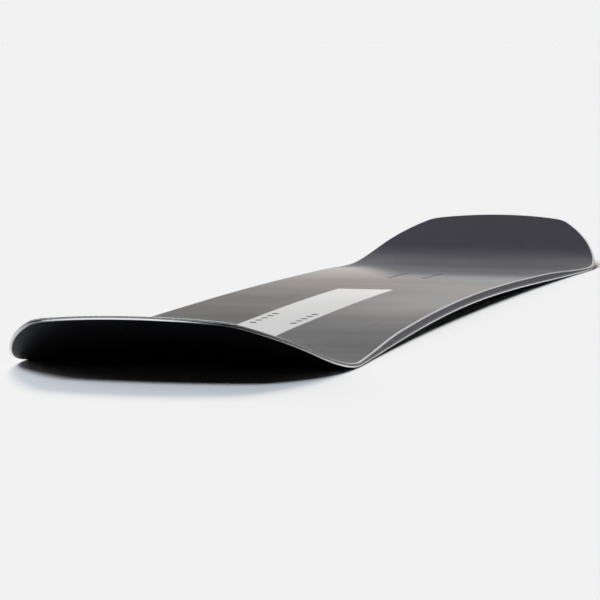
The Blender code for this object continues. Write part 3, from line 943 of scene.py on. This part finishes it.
def stripe_print():
    """Pale grey print of the stripe, a little darker towards the nose, with the same brushing."""
    mat, tree, shader = new_material("stripe_print")
    place = object_place(tree)
    tone = colours(tree, share_between(tree, axis(tree, place, "X"), STRIPE_NOSE_END, STRIPE_TAIL_END), (
        (0.0, (0.52, 0.52, 0.52)),
        (0.6, (0.62, 0.62, 0.61)),
        (1.0, (0.78, 0.77, 0.74)),
    ))
    brushing = noise(tree, place, BRUSHING, detail=5.0, roughness=0.65)
    streaks = compute(tree, "ADD", brushing, noise(tree, place, STRIPE_CLOUDS, detail=2.0))
    shade = colours(tree, share_between(tree, streaks, 0.7, 1.3), (
        (0.0, (0.91, 0.91, 0.92)),
        (1.0, (1.03, 1.03, 1.03)),
    ))
    gloss = with_scuffs(tree, place, spread(tree, brushing, 0.36, 0.50))
    wire(
        tree, shader, mix(tree, 1.0, tone, shade, "MULTIPLY"), gloss,
        relief=brushing, depth=0.000003, strength=0.3)
    return mat


def cut_edge_and_painted_highlight():
    """Cut and polished edge of the topsheet, milky with long knife marks; the same pale tone also paints
    a highlight ring on the flat top beside the bevel.
    """
    mat, tree, shader = new_material("polished_cut_and_painted_highlight")
    marks = noise(tree, rim_travel(tree), KNIFE_MARKS)
    tone = two_tones(tree, marks, (0.80, 0.80, 0.80), (0.90, 0.90, 0.90))
    wire(
        tree, shader, tone, spread(tree, marks, 0.22, 0.38),
        relief=marks, depth=0.00001, strength=0.4)
    return mat


def hole_wall_painted_shade():
    """Near-black drilled wall of the topsheet's holes, painted as the shade inside them, with fine rings
    from the bit.
    """
    mat, tree, shader = new_material("drilled_wall_painted_shade", specular=0.2)
    rings = noise(tree, object_place(tree), DRILL_RINGS)
    # Painted shade: the wall is near black to stand in for the shade down in the hole.
    tone = two_tones(tree, rings, (0.008, 0.008, 0.008), (0.022, 0.022, 0.021))
    wire(
        tree, shader, tone, spread(tree, rings, 0.60, 0.80),
        relief=rings, depth=0.00002, strength=0.4)
    return mat


def base_plastic():
    """Black sintered base with its stone-ground structure running along the board."""
    mat, tree, shader = new_material("black_sintered_base", specular=0.04)
    place = object_place(tree)
    structure = noise(tree, place, STONE_GRIND, detail=4.0, roughness=0.6)
    clouds = noise(tree, place, BASE_CLOUDS)
    tone = two_tones(tree, clouds, (0.003, 0.003, 0.004), (0.006, 0.006, 0.007))
    wire(
        tree, shader, tone, spread(tree, structure, 0.36, 0.52),
        relief=structure, depth=0.00002, strength=0.5)
    return mat


def ground_steel():
    """Ground edge, scored lengthwise by the file: bright along the board, painted darker round the tips
    as a dimmer reflection.
    """
    mat, tree, shader = new_material("ground_steel", metallic=1.0)
    travel = rim_travel(tree)
    filing = noise(tree, travel, FILING, detail=4.0, roughness=0.6)
    haze = noise(tree, travel, STEEL_HAZE)
    bright = two_tones(tree, haze, (0.58, 0.58, 0.60), (0.74, 0.74, 0.76))
    # Painted shade: the darker tone round the tips stands in for the dimmer reflection there.
    painted_dim_tone = two_tones(tree, haze, (0.36, 0.36, 0.37), (0.46, 0.46, 0.47))
    tipward = share_between(tree, axis(tree, travel, "X"), BRIGHT_REACH, PAINTED_DIMMING_START)
    tone = mix(tree, tipward, bright, painted_dim_tone)
    wire(
        tree, shader, tone, spread(tree, filing, 0.14, 0.26),
        relief=filing, depth=0.000006, strength=0.4)
    return mat


def wall_plastic():
    """Dark grey sidewall plastic, planed along the strip."""
    mat, tree, shader = new_material("planed_sidewall", specular=0.22)
    travel = rim_travel(tree)
    planing = noise(tree, travel, PLANING, detail=4.0, roughness=0.6)
    chatter = noise(tree, travel, PLANER_CHATTER, detail=2.0)
    tone = two_tones(tree, planing, (0.038, 0.037, 0.056), (0.064, 0.061, 0.090))
    wire(
        tree, shader, tone, spread(tree, chatter, 0.36, 0.52),
        relief=planing, depth=0.00003, strength=0.5)
    return mat


def spacer_plastic():
    """Darker moulded plastic of the tip spacers, with a pebbled skin."""
    mat, tree, shader = new_material("moulded_spacer")
    travel = rim_travel(tree)
    pebbles = noise(tree, travel, PEBBLES, detail=2.0)
    planing = noise(tree, travel, PLANING, detail=4.0)
    tone = two_tones(tree, planing, (0.050, 0.050, 0.055), (0.072, 0.072, 0.078))
    wire(
        tree, shader, tone, spread(tree, planing, 0.42, 0.58),
        relief=pebbles, depth=0.00002, strength=0.4)
    return mat


def glass_cloth():
    """Woven glass in resin: two crossing ribs of yarn under a glossy skin."""
    mat, tree, shader = new_material("woven_glass")
    yarn = {
        "Vector": object_place(tree), "Scale": YARNS, "Distortion": YARN_WOBBLE, "Detail": 2.0,
        "Detail Scale": YARN_FUZZ}
    ribs = [
        add_node(tree, "ShaderNodeTexWave", yarn, bands_direction=direction).outputs["Fac"]
        for direction in ("X", "Y")]
    weave = compute(tree, "MULTIPLY", *ribs)
    tone = colours(tree, weave, (
        (0.0, (0.70, 0.71, 0.69)),
        (0.6, (0.82, 0.83, 0.81)),
    ))
    wire(
        tree, shader, tone, spread(tree, weave, 0.25, 0.45, 0.0, 1.0),
        relief=weave, depth=0.00004, strength=0.5)
    return mat


def rubber():
    """Dull black rubber foil with a fine grain."""
    mat, tree, shader = new_material("rubber_foil")
    grain = noise(tree, object_place(tree), RUBBER_GRAIN, detail=2.0)
    tone = colours(tree, grain, (
        (0.3, (0.030, 0.030, 0.030)),
        (0.7, (0.055, 0.054, 0.052)),
    ))
    wire(
        tree, shader, tone, spread(tree, grain, 0.75, 0.9),
        relief=grain, depth=0.00003, strength=0.6)
    return mat


def planed_wood(name, pale, dark, pores):
    """Planed wood with its grain along the board and so many pores a metre across it."""
    mat, tree, shader = new_material(name)
    place = object_place(tree)
    rings = noise(tree, place, YEAR_RINGS, detail=4.0, roughness=0.55)
    fibre = noise(tree, place, (FIBRES_ALONG, pores, pores), roughness=0.6)
    grain = share_between(tree, compute(tree, "MULTIPLY", rings, fibre), 0.12, 0.38)
    tone = colours(tree, grain, ((0.0, dark), (1.0, pale)))
    wire(
        tree, shader, tone, spread(tree, fibre, 0.52, 0.70),
        relief=fibre, depth=0.00008, strength=0.5)
    return mat


def turned_stainless():
    """Turned stainless steel of the inserts, with fine rings from the lathe."""
    mat, tree, shader = new_material("turned_stainless", metallic=1.0)
    rings = noise(tree, object_place(tree), LATHE_RINGS)
    tone = two_tones(tree, rings, (0.50, 0.50, 0.51), (0.64, 0.64, 0.65))
    wire(
        tree, shader, tone, spread(tree, rings, 0.22, 0.38),
        relief=rings, depth=0.000008, strength=0.4)
    return mat


def make_materials():
    return {
        "satin_with_painted_sheen": satin_print_with_painted_sheen(),
        "stripe": stripe_print(),
        "cut_edge_and_painted_highlight": cut_edge_and_painted_highlight(),
        "hole_wall_painted_shade": hole_wall_painted_shade(),
        "base": base_plastic(),
        "steel": ground_steel(),
        "sidewall": wall_plastic(),
        "spacer": spacer_plastic(),
        "glass": glass_cloth(),
        "rubber": rubber(),
        "poplar": planed_wood("poplar", (0.74, 0.60, 0.40), (0.58, 0.44, 0.27), 700.0),
        "beech": planed_wood("beech", (0.52, 0.34, 0.20), (0.36, 0.21, 0.11), 1100.0),
        "stainless": turned_stainless(),
    }


def dress_core(mats):
    """Gives the wood stringers, which stay as solids, their grain."""
    for name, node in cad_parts.items():
        if name.startswith("core_stringer"):
            odd = int(name[-2:]) % 2 == 1
            node.data.materials.clear()
            node.data.materials.append(mats["poplar"] if odd else mats["beech"])


def grey(level):
    return (level, level, level)


def make_floor():
    """Plain pale floor, wide enough to meet the horizon."""
    mat, _, shader = new_material("pale_floor", specular=0.0)
    shader.inputs["Base Color"].default_value = (*grey(FLOOR_TONE), 1.0)
    shader.inputs["Roughness"].default_value = 1.0
    bm = bmesh.new()
    bmesh.ops.create_grid(bm, x_segments=1, y_segments=1, size=FLOOR_HALF)
    mesh = bpy.data.meshes.new("floor")
    bm.to_mesh(mesh)
    bm.free()
    mesh.materials.append(mat)
    floor = bpy.data.objects.new("floor", mesh)
    bpy.context.scene.collection.objects.link(floor)


def make_world():
    """Studio round the board: a soft glow past the tail, dark behind the camera, a lamp at its left."""
    world = bpy.data.worlds.new("studio")
    world.use_nodes = True
    tree = world.node_tree
    direction = add_node(tree, "ShaderNodeTexCoord").outputs["Generated"]
    height = axis(tree, direction, "Z")
    ahead = colours(tree, height, (
        (0.00, grey(BACKGROUND)),
        (0.02, grey(BACKGROUND)),
        (0.04, grey(0.43)),
        (0.17, grey(0.56)),
        (0.28, grey(0.78)),
        (0.45, grey(0.64)),
        (0.62, grey(0.25)),
        (1.00, grey(0.10)),
    ))
    behind = colours(tree, height, ((0.00, grey(0.16)), (0.30, grey(0.05))))
    tailward = share_between(tree, axis(tree, direction, "X"), GLOW_START, GLOW_FULL)
    studio = mix(tree, tailward, behind, ahead)
    nearness = add_node(tree, "ShaderNodeVectorMath", {0: direction, 1: LAMP}, operation="DOT_PRODUCT")
    glow = share_between(tree, nearness.outputs["Value"], math.cos(LAMP_REACH), math.cos(LAMP_CORE))
    lamp = colours(tree, glow, ((0.0, grey(0.0)), (1.0, LAMP_COLOUR)), "EASE")
    background = tree.nodes["Background"]
    tree.links.new(mix(tree, 1.0, studio, lamp, "ADD"), background.inputs["Color"])
    bpy.context.scene.world = world
    world.cycles_visibility.diffuse = False


def add_sun(name, direction, strength, colour, width):
    """Soft light that falls evenly on the whole floor from one direction."""
    light = bpy.data.lights.new(name, "SUN")
    light.energy = strength
    light.color = colour
    light.angle = math.radians(width)
    sun = bpy.data.objects.new(name, light)
    sun.rotation_mode = "QUATERNION"
    sun.rotation_quaternion = Vector(direction).to_track_quat("Z", "Y")
    sun.visible_glossy = False
    sun.visible_camera = False
    bpy.context.scene.collection.objects.link(sun)


def make_lights():
    """Cool light over the far side of the nose, a warm one past the tail and a broad one between."""
    add_sun("key", (-0.34, 0.48, 1.0), strength=2.346, colour=(0.833, 0.920, 1.0), width=26.0)
    add_sun("back", (1.46, 0.60, 1.0), strength=2.300, colour=(1.0, 0.876, 0.732), width=18.0)
    add_sun("fill", (1.00, 1.40, 0.9), strength=1.250, colour=(0.97, 0.93, 0.96), width=58.0)


def make_camera():
    """Camera where the photograph was taken, low over the nose."""
    data = bpy.data.cameras.new("camera")
    data.lens = CAMERA_LENS
    data.sensor_width = CAMERA_SENSOR
    data.clip_end = CAMERA_CLIP
    camera = bpy.data.objects.new("camera", data)
    camera.matrix_world = (
        Matrix.Translation(CAMERA_PLACE)
        @ Matrix.Rotation(CAMERA_YAW - math.pi / 2, 4, "Z")
        @ Matrix.Rotation(CAMERA_PITCH + math.pi / 2, 4, "X")
        @ Matrix.Rotation(CAMERA_ROLL, 4, "Z"))
    bpy.context.scene.collection.objects.link(camera)
    bpy.context.scene.camera = camera
    bpy.context.scene.view_settings.view_transform = "Standard"


def main():
    mats = make_materials()
    make_base(mats)
    make_edges(mats)
    make_foils(mats)
    make_lower_laminate(mats)
    make_sidewalls(mats)
    make_spacers(mats)
    make_upper_laminate(mats)
    make_topsheet(mats)
    make_inserts(mats)
    dress_core(mats)
    make_floor()
    make_world()
    make_lights()
    make_camera()


main()
